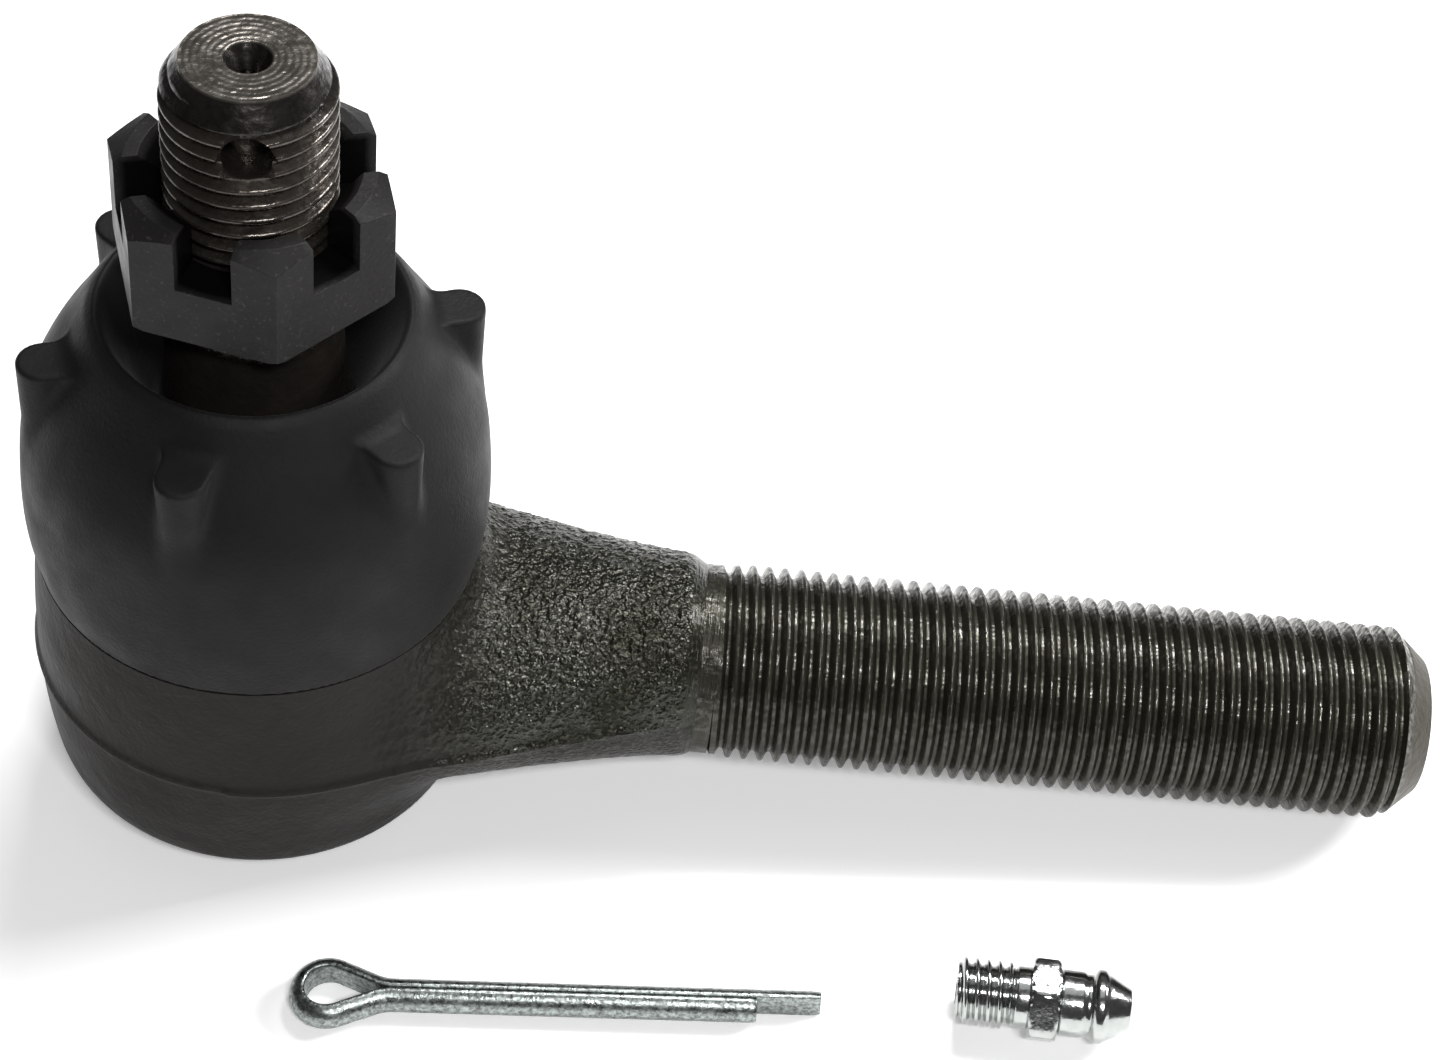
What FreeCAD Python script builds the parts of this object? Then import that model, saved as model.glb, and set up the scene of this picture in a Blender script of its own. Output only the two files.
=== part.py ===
import math
import os

import FreeCAD
import Part

os.makedirs("parts", exist_ok=True)

# Tie rod end, millimetres. The origin is the centre of the ball.
# +X runs along the threaded shank, +Z along the stud, -Y is the front.

# ---- shank: M18 x 1.5
SHANK_R = 9.0
SHANK_MINOR_R = 8.08
PITCH = 1.5
SHANK_FIRST = 44.44
SHANK_CRESTS = 41
SHANK_END_X = 107.44
SHANK_END_R = 6.4
SHANK_RELIEF_R = 8.75
SHOULDER_X = 39.67
SHOULDER_R = 9.4
SHOULDER_RISE = 0.3

# ---- socket
TOP_Z = 12.4
TOP_R = 19.55
WALL_R = 20.15
CORNER_R = 19.35
CORNER_Z = -10.8
BELLY_R = 16.4
BELLY_Z = -13.2
RIM_Z = -15.0
RIM_R = 15.1
RIM_MOUTH_R = 11.2
RIM_ROOT_Z = -13.5
COLLAR_R = 15.5
COLLAR_Z = 15.2

# ---- ball joint
BALL_R = 11.0
BALL_FLAT_Z = -8.6
RUN = 0.03
LINER_R = 12.8
LINER_LOW_Z = 1.2
CAVITY_R = 12.83
MOUTH_DEG = 15.0
CONE_DEG = math.degrees(math.acos(math.cos(math.radians(MOUTH_DEG)) ** 2))
NECK_R = 6.2
NECK_TOP_Z = 17.0

# ---- stud
TAPER_BIG_R = 8.45
TAPER_BIG_Z = 20.5
TAPER_SMALL_R = 7.2
TAPER_SMALL_Z = 40.5
STUD_R = 7.0
STUD_MINOR_R = 6.08
STUD_FIRST = 43.0
STUD_CRESTS = 14
STUD_END_Z = 65.4
STUD_END_R = 5.3
UNDERCUT_R = 6.0
COTTER_HOLE_R = 2.0
COTTER_HOLE_Z = 60.44
COTTER_HOLE_DEG = 6.7
CENTRE_DRILL_R = 1.95

# ---- castle nut, M14 x 1.5, 21 across the flats
NUT_AF = 21.0
NUT_Z = 44.1
NUT_H = 10.6
NUT_BORE_R = 7.08
NUT_SINK = 1.8
NUT_SLOT_W = 4.7
NUT_SLOT_H = 5.2
NUT_TURN_DEG = 17.5

# ---- seat, spring and cover
SEAT_TOP_Z = -2.7
SEAT_LOW_Z = -9.8
SEAT_HOLE_R = 5.8
LEDGE_Z = -12.0
COVER_R = 13.3
COVER_T = 1.6
BOSS_R = 5.2
BOSS_TOP_Z = -11.2
BOSS_LOW_Z = -14.7
GREASE_R = 2.5
DISC_IN_R = 6.8
DISC_OUT_R = 12.2
DISC_T = 0.8

# ---- boot
MOUTH_R = 12.5
MOUTH_Z = 39.7
LUGS = 6
LUG_TURN_DEG = 18.9
LUG_W = 4.4
LUG_OUT_R = 19.7
LUG_TOP_Z = 36.3
LUG_LOW_Z = 25.0
LIP_R = 8.35
LIP_OUT_R = 9.5
LIP_LOW_Z = 25.5
LIP_TOP_Z = 30.0
BAND_IN_R = 16.33
BAND_OUT_R = 17.32
BAND_TOP_Z = 14.1
GARTER_WIRE_R = 0.55
GARTER_Z = 27.6

# ---- what the part rests on: the rim and the end of the shank both touch it
REST_RIM_R = 14.6
LAST_CREST_X = SHANK_FIRST + PITCH * (SHANK_CRESTS - 1)
REST_DEG = math.degrees(math.atan2(-SHANK_R - RIM_Z, LAST_CREST_X - REST_RIM_R))

# ---- cotter pin, 3.2 x 45
WIRE_R = 1.45
EYE_R = 2.0
EYE_BEND_R = 5.0
EYE_BEND_X = 5.9
LEG_GAP = 0.04
LEG_LONG = 43.7
LEG_SHORT = 38.0
PIN_X = 10.1
PIN_Y = -31.1
PIN_YAW_DEG = 1.5

# ---- grease fitting, M6 x 1
FIT_X = 65.4
FIT_Y = -28.6
FIT_YAW_DEG = -4.8
FIT_L = 15.4
FIT_R = 3.0
FIT_MINOR_R = 2.45
FIT_THREAD_L = 5.0
FIT_COLLAR_R = 2.75
FIT_HEX_X = 6.45
FIT_HEX_L = 2.6
FIT_HEX_AF = 7.0
FIT_FIRST = 0.45
FIT_CRESTS = 5
FIT_PITCH = 1.0
FIT_BARREL_R = 2.95
FIT_GROOVE_R = 2.75
FIT_GROOVE_X = 11.7
FIT_HEAD_R = 3.3
FIT_HEAD_X = 12.35
FIT_TIP_R = 1.9
FIT_BORE_R = 1.35
CHECK_BALL_R = 1.15
CHECK_BALL_X = 13.9

V = FreeCAD.Vector
O = V(0, 0, 0)
X = V(1, 0, 0)
Y = V(0, 1, 0)
Z = V(0, 0, 1)


def save(name, shape):
    """One STEP file for a node."""
    shape.exportStep("parts/%s.step" % name)


def at(r, z):
    return V(r, 0, z)


def line(a, b):
    return Part.makeLine(a, b)


def spline(points):
    curve = Part.BSplineCurve()
    curve.interpolate(points)
    return curve.toShape()


def arc(a, b, c):
    return Part.Arc(a, b, c).toShape()


def turned(edges):
    """Solid of revolution about Z from a closed outline in the XZ plane."""
    face = Part.Face(Part.Wire(edges))
    return face.revolve(O, Z, 360)


def lathe(points):
    """Solid of revolution about Z from (radius, height) corners."""
    corners = [at(r, z) for r, z in points]
    corners.append(corners[0])
    return turned([line(a, b) for a, b in zip(corners, corners[1:])])


def to_x(shape):
    """Lay a solid built along +Z down along +X."""
    shape.rotate(O, Y, 90)
    return shape


def thread_outline(first, crests, pitch, major, minor):
    """(radius, distance) corners of a run of 60 degree thread grooves."""
    crest = pitch / 8
    root = pitch / 4
    points = []
    for k in range(crests):
        mid = first + k * pitch
        points.append((major, mid - crest / 2))
        points.append((major, mid + crest / 2))
        if k < crests - 1:
            points.append((minor, mid + pitch / 2 - root / 2))
            points.append((minor, mid + pitch / 2 + root / 2))
    return points


# ---------------------------------------------------------------- housing


def socket_outside():
    side = [at(CORNER_R, CORNER_Z), at(WALL_R - 0.15, -5), at(WALL_R, 0)]
    side += [at(WALL_R - 0.1, 6), at(TOP_R, TOP_Z)]
    barrel = spline(side)
    corner = arc(at(BELLY_R, BELLY_Z), at(18.35, -12.55), at(CORNER_R, CORNER_Z))
    step = line(at(RIM_R + 0.6, RIM_ROOT_Z), at(BELLY_R, BELLY_Z))
    rim_root = arc(at(RIM_R, RIM_Z + 1.0), at(RIM_R + 0.15, RIM_ROOT_Z - 0.22), at(RIM_R + 0.6, RIM_ROOT_Z))
    rim_edge = arc(at(REST_RIM_R - 0.5, RIM_Z), at(RIM_R - 0.2, RIM_Z + 0.3), at(RIM_R, RIM_Z + 1.0))
    bottom = line(at(0, RIM_Z), at(REST_RIM_R - 0.5, RIM_Z))
    top = line(at(TOP_R, TOP_Z), at(COLLAR_R, TOP_Z))
    collar_side = line(at(COLLAR_R, TOP_Z), at(COLLAR_R, COLLAR_Z))
    collar_top = line(at(COLLAR_R, COLLAR_Z), at(0, COLLAR_Z))
    axis = line(at(0, COLLAR_Z), at(0, RIM_Z))
    outline = [bottom, rim_edge, rim_root, step, corner, barrel]
    outline += [top, collar_side, collar_top, axis]
    return turned(outline)


def neck_section(x, half_w, half_h):
    """Oval across the neck; towards the shoulder its middle rises a little."""
    rise = SHOULDER_RISE * min(max((x - 20.0) / 18.0, 0.0), 1.0)
    ring = []
    for k in range(24):
        a = 2 * math.pi * k / 24
        ring.append(V(x, half_w * math.cos(a), rise + half_h * math.sin(a)))
    curve = Part.BSplineCurve()
    curve.interpolate(ring, PeriodicFlag=True)
    return Part.Wire(curve.toShape())


def neck():
    """Forged neck that blends the socket into the round shank."""
    sections = [
        neck_section(4.0, 17.5, 10.6),
        neck_section(14.0, 15.9, 9.9),
        neck_section(19.0, 14.7, 9.6),
        neck_section(24.0, 13.2, 9.4),
        neck_section(29.0, 11.75, 9.3),
        neck_section(34.0, 10.4, 9.3),
        neck_section(38.5, 9.5, SHOULDER_R),
        neck_section(SHOULDER_X + 2.0, SHOULDER_R, SHOULDER_R),
    ]
    body = Part.makeLoft(sections, True, False)
    edge_r = SHOULDER_R + SHOULDER_RISE + 0.02
    corners = [(0, 0), (30, 0), (30, SHOULDER_X - 6), (edge_r, SHOULDER_X)]
    corners += [(SHANK_RELIEF_R - 0.1, SHOULDER_X + 1.5), (0, SHOULDER_X + 1.5)]
    ease = to_x(lathe(corners))
    return body.common(ease)


def shank():
    thread = thread_outline(SHANK_FIRST, SHANK_CRESTS, PITCH, SHANK_R, SHANK_MINOR_R)
    groove = SHANK_FIRST - PITCH / 2
    points = [(0, SHOULDER_X - 9.0), (SHANK_RELIEF_R, SHOULDER_X - 9.0)]
    points += [(SHANK_RELIEF_R, groove - 0.6), (SHANK_MINOR_R, groove - 0.19)]
    points.append((SHANK_MINOR_R, groove + 0.19))
    points += thread
    points += [(SHANK_R - 0.95, LAST_CREST_X + 0.8), (SHANK_END_R, SHANK_END_X), (0, SHANK_END_X)]
    return to_x(lathe(points))


def opening_r(z, tilt_deg, gap):
    """Radius a tilted neck needs at height z."""
    t = math.radians(tilt_deg)
    return z * math.tan(t) + NECK_R / math.cos(t) + gap


def socket_inside():
    """Spherical seat for the liner, bore, ledge for the cover and the flared mouth."""
    ball = Part.makeSphere(CAVITY_R, O, Z, 0, 90, 360)
    bore = Part.makeCylinder(CAVITY_R, -LEDGE_Z + 1.0, V(0, 0, LEDGE_Z - 1.0))
    step = Part.makeCylinder(COVER_R + 0.03, COVER_T + 0.05, V(0, 0, LEDGE_Z - COVER_T - 0.05))
    corners = [(0, RIM_Z - 1), (RIM_MOUTH_R + 0.8, RIM_Z - 1), (RIM_MOUTH_R + 0.8, RIM_Z)]
    corners += [(RIM_MOUTH_R, RIM_Z + 0.8), (RIM_MOUTH_R, LEDGE_Z), (0, LEDGE_Z)]
    lip = lathe(corners)
    low, high = 5.0, COLLAR_Z + 1
    low_r, high_r = opening_r(low, CONE_DEG, 0.4), opening_r(high, CONE_DEG, 0.4)
    mouth = lathe(((0, low), (low_r, low), (high_r, high), (0, high)))
    return ball.fuse([bore, step, lip, mouth])


def make_housing():
    body = socket_outside().fuse([neck(), shank()])
    body = body.cut(socket_inside()).removeSplitter()
    return body


# ---------------------------------------------------------------- inner pieces


def make_liner():
    shell = Part.makeSphere(LINER_R).cut(Part.makeSphere(BALL_R + RUN))
    keep = Part.makeCylinder(LINER_R + 2, LINER_R + 2, V(0, 0, LINER_LOW_Z))
    low_r, high_r = opening_r(0, MOUTH_DEG, 0.3), opening_r(14, MOUTH_DEG, 0.3)
    mouth = lathe(((0, 0), (low_r, 0), (high_r, 14), (0, 14)))
    return shell.common(keep).cut(mouth)


def make_seat():
    block = Part.makeCylinder(CAVITY_R - 0.06, SEAT_TOP_Z - SEAT_LOW_Z, V(0, 0, SEAT_LOW_Z))
    hole = Part.makeCylinder(SEAT_HOLE_R, 20, V(0, 0, -20))
    return block.cut([Part.makeSphere(BALL_R + RUN), hole])


def make_disc_spring():
    """Coned spring washer: it pushes the seat up from the cover."""
    low = LEDGE_Z + 0.03
    high = SEAT_LOW_Z - 0.03
    outer = [(DISC_OUT_R, low), (DISC_OUT_R, low + DISC_T)]
    inner = [(DISC_IN_R, high), (DISC_IN_R, high - DISC_T)]
    return lathe(outer + inner)


def make_cover():
    plate = Part.makeCylinder(COVER_R, COVER_T, V(0, 0, LEDGE_Z - COVER_T))
    boss = Part.makeCylinder(BOSS_R, BOSS_TOP_Z - BOSS_LOW_Z, V(0, 0, BOSS_LOW_Z))
    cone_low = Part.makeCone(BOSS_R, BOSS_R + 1.1, 1.1, V(0, 0, BOSS_LOW_Z))
    hole = Part.makeCylinder(GREASE_R, 6, V(0, 0, BOSS_LOW_Z - 1))
    return plate.fuse([boss, cone_low]).cut(hole).removeSplitter()


# ---------------------------------------------------------------- stud and nut


def make_stud():
    flat_r = math.sqrt(BALL_R ** 2 - BALL_FLAT_Z ** 2)
    join_r = NECK_R + 0.5
    join_z = math.sqrt(BALL_R ** 2 - join_r ** 2)
    neck_low, neck_high = at(NECK_R, join_z + 1.1), at(NECK_R, NECK_TOP_Z)
    big, small = at(TAPER_BIG_R, TAPER_BIG_Z), at(TAPER_SMALL_R, TAPER_SMALL_Z)
    outline = [line(at(0, BALL_FLAT_Z), at(flat_r, BALL_FLAT_Z))]
    outline.append(arc(at(flat_r, BALL_FLAT_Z), at(BALL_R, 0), at(join_r, join_z)))
    outline.append(arc(at(join_r, join_z), at(NECK_R + 0.1, join_z + 0.45), neck_low))
    outline.append(line(neck_low, neck_high))
    outline.append(arc(neck_high, at(NECK_R + 0.5, NECK_TOP_Z + 1.9), big))
    outline.append(line(big, small))
    corners = [(TAPER_SMALL_R, TAPER_SMALL_Z), (UNDERCUT_R, TAPER_SMALL_Z + 0.9)]
    corners.append((UNDERCUT_R, STUD_FIRST - 0.9))
    corners += thread_outline(STUD_FIRST, STUD_CRESTS, PITCH, STUD_R, STUD_MINOR_R)
    corners += [(STUD_END_R, STUD_END_Z), (CENTRE_DRILL_R, STUD_END_Z)]
    corners += [(0.8, STUD_END_Z - 1.9), (0.8, STUD_END_Z - 3.6), (0, STUD_END_Z - 4.0)]
    points = [at(r, z) for r, z in corners]
    outline += [line(a, b) for a, b in zip(points, points[1:])]
    outline.append(line(points[-1], at(0, BALL_FLAT_Z)))
    return turned(outline).cut(cotter_hole())


def cotter_hole():
    a = math.radians(COTTER_HOLE_DEG)
    way = V(math.sin(a), -math.cos(a), 0)
    start = V(0, 0, COTTER_HOLE_Z) - way * 12
    hole = Part.makeCylinder(COTTER_HOLE_R, 24, start, way)
    for s in (1, -1):
        tip = V(0, 0, COTTER_HOLE_Z) + way * (s * (STUD_R - 0.9))
        hole = hole.fuse(Part.makeCone(COTTER_HOLE_R, COTTER_HOLE_R + 1.2, 1.2, tip, way * s))
    return hole


def hexagon(af, height, z, turn_deg):
    corner = af / math.sqrt(3)
    points = []
    for k in range(7):
        a = math.radians(turn_deg + 60 * k)
        points.append(V(corner * math.cos(a), corner * math.sin(a), z))
    return Part.Face(Part.makePolygon(points)).extrude(V(0, 0, height))


def make_nut():
    corner = NUT_AF / math.sqrt(3)
    flat = NUT_AF / 2
    top = NUT_Z + NUT_H
    body = hexagon(NUT_AF, NUT_H, NUT_Z, NUT_TURN_DEG - 90)
    drop = (corner + 0.1 - (flat - 0.45)) * math.tan(math.radians(30))
    outside = [(0, NUT_Z), (corner - 0.4, NUT_Z), (corner + 0.1, NUT_Z + 0.3)]
    outside += [(corner + 0.1, top - drop), (flat - 0.45, top), (0, top)]
    body = body.common(lathe(outside))
    bore = [(0, NUT_Z), (NUT_BORE_R + 0.9, NUT_Z), (NUT_BORE_R, NUT_Z + 0.9)]
    bore += [(NUT_BORE_R, top - NUT_SINK), (NUT_BORE_R + NUT_SINK, top), (0, top)]
    body = body.cut(lathe(bore))
    for k in range(6):
        slot = Part.makeBox(16, NUT_SLOT_W, NUT_SLOT_H + 1, V(0, -NUT_SLOT_W / 2, top - NUT_SLOT_H))
        slot.rotate(O, Z, NUT_TURN_DEG - 90 + 30 + 60 * k)
        body = body.cut(slot)
    return body


# ---------------------------------------------------------------- boot


def boot_side():
    """Outer side of the dome, from the seam up to the rim of the mouth."""
    side = [at(19.5, TOP_Z + 0.03), at(20.1, 16), at(20.25, 20), at(20.05, 24), at(19.45, 28)]
    side += [at(18.35, 31), at(16.8, 34), at(15.55, 36), at(14.35, 38), at(13.55, 39.2)]
    return side


def boot_inner_side():
    side = [at(17.3, 14.9), at(18.1, 17), at(18.4, 20), at(18.2, 24), at(17.5, 27.5)]
    side += [at(16.3, 30.3), at(14.7, 33), at(13.2, 35.1), at(12.3, 36.4)]
    return side


def boot_lug(k):
    half = LUG_W / 2
    height = LUG_TOP_Z - LUG_LOW_Z
    root = Part.makeBox(LUG_OUT_R - half - 13.0, LUG_W, height, V(13.0, -half, LUG_LOW_Z))
    end = Part.makeCylinder(half, height, V(LUG_OUT_R - half, 0, LUG_LOW_Z))
    lug = root.fuse(end)
    lug.rotate(O, Z, LUG_TURN_DEG + 60 * k)
    return lug


def boot_outside():
    side = boot_side()
    base_z = TOP_Z + 0.03
    mouth = at(MOUTH_R, MOUTH_Z - 0.35)
    outline = [spline(side), arc(side[-1], at(MOUTH_R + 0.6, MOUTH_Z), mouth)]
    outline += [line(mouth, at(0, mouth.z)), line(at(0, mouth.z), at(0, base_z))]
    outline.append(line(at(0, base_z), side[0]))
    return turned(outline).fuse([boot_lug(k) for k in range(LUGS)])


def boot_room():
    """Room inside the dome, under the turned-in funnel."""
    inner = boot_inner_side()
    bead = COLLAR_R + 0.05
    low = TOP_Z - 1
    outline = [line(at(0, low), at(bead, low)), line(at(bead, low), at(bead, 14.9))]
    outline += [line(at(bead, 14.9), inner[0]), spline(inner)]
    corners = [inner[-1], at(LIP_OUT_R + 0.5, LIP_TOP_Z + 0.6), at(LIP_OUT_R, LIP_TOP_Z - 0.8)]
    corners += [at(LIP_OUT_R, LIP_LOW_Z), at(0, LIP_LOW_Z), at(0, low)]
    outline += [line(a, b) for a, b in zip(corners, corners[1:])]
    return turned(outline)


def boot_funnel():
    """Funnel from the rim down to the lip around the taper."""
    corners = [(0, MOUTH_Z + 1), (MOUTH_R, MOUTH_Z + 1), (MOUTH_R, MOUTH_Z - 0.4), (11.0, 36.0)]
    corners += [(LIP_R + 0.25, LIP_TOP_Z), (LIP_R, LIP_TOP_Z - 1.0)]
    corners += [(LIP_R, LIP_LOW_Z - 1), (0, LIP_LOW_Z - 1)]
    return lathe(corners)


def make_boot():
    band = [(BAND_IN_R - 0.03, TOP_Z - 1), (BAND_OUT_R + 0.03, TOP_Z - 1)]
    band += [(BAND_OUT_R + 0.03, BAND_TOP_Z + 0.05), (BAND_IN_R - 0.03, BAND_TOP_Z + 0.05)]
    return boot_outside().cut([boot_room(), boot_funnel(), lathe(band)])


def make_base_band():
    """Steel band inside the foot of the boot."""
    low = TOP_Z + 0.05
    corners = [(BAND_IN_R, low), (BAND_OUT_R, low), (BAND_OUT_R, BAND_TOP_Z), (BAND_IN_R, BAND_TOP_Z)]
    return lathe(corners)


def make_garter():
    """Wire ring around the lip that hugs the taper."""
    return Part.makeTorus(LIP_OUT_R + 0.07 + GARTER_WIRE_R, GARTER_WIRE_R, V(0, 0, GARTER_Z))


# ---------------------------------------------------------------- loose pieces


def lay_down(shape, x, y, height, yaw_deg):
    """Put a loose piece on the surface that the part rests on."""
    t = math.radians(REST_DEG)
    shape.rotate(O, Z, yaw_deg)
    shape.rotate(O, Y, -REST_DEG)
    up = V(-math.sin(t), 0, math.cos(t))
    ground = up.dot(V(REST_RIM_R, 0, RIM_Z))
    z = (ground + height - up.x * x) / up.z
    shape.translate(V(x, y, z))
    return shape


def pin_inner_edge():
    """Where the eye, the straight and the bend of the folded wire meet, upper half."""
    far = math.hypot(EYE_BEND_X, LEG_GAP + EYE_BEND_R)
    way = math.atan2(LEG_GAP + EYE_BEND_R, EYE_BEND_X)
    a = way + math.acos((EYE_R + EYE_BEND_R) / far)
    mid_y = LEG_GAP + EYE_BEND_R
    on_eye = (EYE_R * math.cos(a), EYE_R * math.sin(a))
    on_bend = (EYE_BEND_X - EYE_BEND_R * math.cos(a), mid_y - EYE_BEND_R * math.sin(a))
    b = math.atan2(-math.sin(a) - 1, -math.cos(a))
    mid = (EYE_BEND_X + EYE_BEND_R * math.cos(b), mid_y + EYE_BEND_R * math.sin(b))
    return on_eye, on_bend, mid


def pin_half(side):
    """Edges of one leg's inner path, from the leg to the eye."""
    on_eye, on_bend, mid = pin_inner_edge()
    leg = V(LEG_LONG if side > 0 else LEG_SHORT, side * LEG_GAP, 0)
    start = V(EYE_BEND_X, side * LEG_GAP, 0)
    bend = V(on_bend[0], side * on_bend[1], 0)
    eye = V(on_eye[0], side * on_eye[1], 0)
    return leg, start, V(mid[0], side * mid[1], 0), bend, eye


def make_cotter_pin():
    leg, start, mid, bend, eye = pin_half(1)
    leg2, start2, mid2, bend2, eye2 = pin_half(-1)
    edges = [line(leg, start), arc(start, mid, bend), line(bend, eye)]
    edges.append(arc(eye, V(-EYE_R, 0, 0), eye2))
    edges += [line(eye2, bend2), arc(bend2, mid2, start2), line(start2, leg2)]
    up = V(0, 0, WIRE_R)
    flat = line(leg - up, leg + up)
    back = arc(leg + up, leg + V(0, WIRE_R, 0), leg - up)
    body = Part.Wire(edges).makePipeShell([Part.Wire([flat, back])], True, False)
    return lay_down(body, PIN_X, PIN_Y, WIRE_R, PIN_YAW_DEG)


def fitting_outline():
    end = FIT_HEX_X + FIT_HEX_L
    root_r = FIT_BARREL_R - 0.3
    points = [(0, 0), (FIT_MINOR_R - 0.1, 0)]
    points += thread_outline(FIT_FIRST, FIT_CRESTS, FIT_PITCH, FIT_R, FIT_MINOR_R)
    points += [(FIT_MINOR_R, FIT_THREAD_L - 0.1), (FIT_COLLAR_R, FIT_THREAD_L + 0.2)]
    points += [(FIT_COLLAR_R, FIT_HEX_X), (root_r, FIT_HEX_X), (root_r, end)]
    points += [(FIT_BARREL_R, end + 0.15), (FIT_BARREL_R, FIT_GROOVE_X - 0.6)]
    points += [(FIT_GROOVE_R, FIT_GROOVE_X - 0.15), (FIT_GROOVE_R, FIT_GROOVE_X + 0.15)]
    points += [(FIT_HEAD_R - 0.15, FIT_HEAD_X - 0.25), (FIT_HEAD_R, FIT_HEAD_X)]
    points.append((FIT_HEAD_R, FIT_HEAD_X + 0.7))
    points += [(FIT_HEAD_R - 0.25, FIT_HEAD_X + 1.0), (FIT_TIP_R, FIT_L), (0, FIT_L)]
    return points


def make_fitting():
    end = FIT_HEX_X + FIT_HEX_L
    corner = FIT_HEX_AF / math.sqrt(3)
    chamfers = [(0, FIT_HEX_X), (corner - 0.45, FIT_HEX_X), (corner, FIT_HEX_X + 0.3)]
    chamfers += [(corner, end - 0.3), (corner - 0.45, end), (0, end)]
    nut = hexagon(FIT_HEX_AF, FIT_HEX_L, FIT_HEX_X, 30).common(lathe(chamfers))
    bore = [(0, -1), (FIT_BORE_R, -1), (FIT_BORE_R, CHECK_BALL_X + 0.55)]
    bore += [(0.85, CHECK_BALL_X + 1.0), (0.85, FIT_L + 1), (0, FIT_L + 1)]
    body = lathe(fitting_outline()).fuse(nut).cut(lathe(bore)).removeSplitter()
    return lay_down(to_x(body), FIT_X, FIT_Y, FIT_HEX_AF / 2, FIT_YAW_DEG)


def make_check_ball():
    ball = Part.makeSphere(CHECK_BALL_R, V(0, 0, CHECK_BALL_X))
    return lay_down(to_x(ball), FIT_X, FIT_Y, FIT_HEX_AF / 2, FIT_YAW_DEG)


def make_fitting_spring():
    """Spring under the check ball, as a sleeve with a groove between coils."""
    outer_r, groove_r, inner_r = 1.15, 1.0, 0.82
    coils, pitch, wire = 6, 0.55, 0.32
    low = CHECK_BALL_X - CHECK_BALL_R - 0.05 - coils * pitch
    points = [(inner_r, low)]
    for k in range(coils):
        z = low + k * pitch
        points += [(outer_r, z), (outer_r, z + wire)]
        if k < coils - 1:
            points += [(groove_r, z + wire), (groove_r, z + pitch)]
    points.append((inner_r, low + (coils - 1) * pitch + wire))
    return lay_down(to_x(lathe(points)), FIT_X, FIT_Y, FIT_HEX_AF / 2, FIT_YAW_DEG)


save("housing", make_housing())
save("ball_liner", make_liner())
save("pressure_seat", make_seat())
save("disc_spring", make_disc_spring())
save("cover_plate", make_cover())
save("ball_stud", make_stud())
save("castle_nut", make_nut())
save("dust_boot", make_boot())
save("boot_base_band", make_base_band())
save("garter_ring", make_garter())
save("cotter_pin", make_cotter_pin())
save("fitting_body", make_fitting())
save("fitting_ball", make_check_ball())
save("fitting_spring", make_fitting_spring())
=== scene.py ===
import math

import bmesh
import bpy
import numpy as np
from mathutils import Matrix, Vector


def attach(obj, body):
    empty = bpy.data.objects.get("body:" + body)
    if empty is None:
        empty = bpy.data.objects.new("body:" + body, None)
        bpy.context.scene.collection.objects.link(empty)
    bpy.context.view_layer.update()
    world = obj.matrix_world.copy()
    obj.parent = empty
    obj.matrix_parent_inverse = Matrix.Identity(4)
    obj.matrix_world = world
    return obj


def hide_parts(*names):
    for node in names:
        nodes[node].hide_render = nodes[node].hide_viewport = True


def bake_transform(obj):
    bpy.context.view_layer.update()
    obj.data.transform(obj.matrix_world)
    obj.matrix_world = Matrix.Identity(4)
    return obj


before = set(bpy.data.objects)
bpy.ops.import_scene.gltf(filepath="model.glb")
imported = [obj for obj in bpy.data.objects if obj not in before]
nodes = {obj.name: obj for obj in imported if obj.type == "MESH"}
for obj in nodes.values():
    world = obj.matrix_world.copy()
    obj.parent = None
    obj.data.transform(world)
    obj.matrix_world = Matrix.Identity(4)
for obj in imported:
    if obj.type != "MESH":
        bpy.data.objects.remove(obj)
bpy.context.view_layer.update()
MM = 0.001
TAU = 2 * math.pi

# ---------------------------------------------------------------- sizes
# in millimetres; HOLE_TURN, LUG_TURN, SWING_ROOM and REST in radians, PIN_YAW and FIT_YAW in degrees
PITCH = 1.5

SHANK_R = 9.0
SHANK_MINOR = 8.08
SHANK_FIRST = 44.44
SHANK_CRESTS = 41
SHANK_START = 41.8
SHANK_END = 107.44
SHANK_END_R = 6.4
SHANK_CHAMFER = 2.95
RELIEF_R = 8.75
SHOULDER_X = 39.67
SHOULDER_R = 9.4

TOP_Z = 12.4
RIM_Z = -15.0
REST_RIM_R = 14.6
COLLAR_R = 15.5
COLLAR_Z = 15.2
SEAT_R = 12.83
COVER_SEAT_R = 13.33
COVER_SEAT_Z = -12.0
COVER_LOW_Z = -13.65
RIM_MOUTH_R = 11.2
SWING_ROOM = math.radians(15)

STUD_R = 7.0
STUD_MINOR = 6.08
STUD_FIRST = 43.0
STUD_CRESTS = 14
STUD_START = 42.0
STUD_END = 65.4
STUD_END_R = 5.3
STUD_CHAMFER = 2.55
BALL_R = 11.0
BALL_FLAT_Z = -8.6
NECK_R = 6.2
BALL_JOIN_R = 6.7
TAPER_TOP = (7.2, 40.5)
UNDERCUT_R = 6.0
HOLE_R = 2.0
HOLE_Z = 60.44
HOLE_TURN = math.radians(6.7)

# outlines as (radius, height)
BARREL = [(19.35, -10.8), (20.0, -5), (20.15, 0), (20.05, 6), (19.55, 12.4)]
BOOT = [
    (19.5, 12.43), (20.1, 16), (20.25, 20), (20.05, 24), (19.45, 28),
    (18.35, 31), (16.8, 34), (15.55, 36), (14.35, 38), (13.55, 39.2),
]
BOOT_IN = [
    (17.3, 14.9), (18.1, 17), (18.4, 20), (18.2, 24), (17.5, 27.5),
    (16.3, 30.3), (14.7, 33), (13.2, 35.1), (12.3, 36.4),
]
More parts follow.
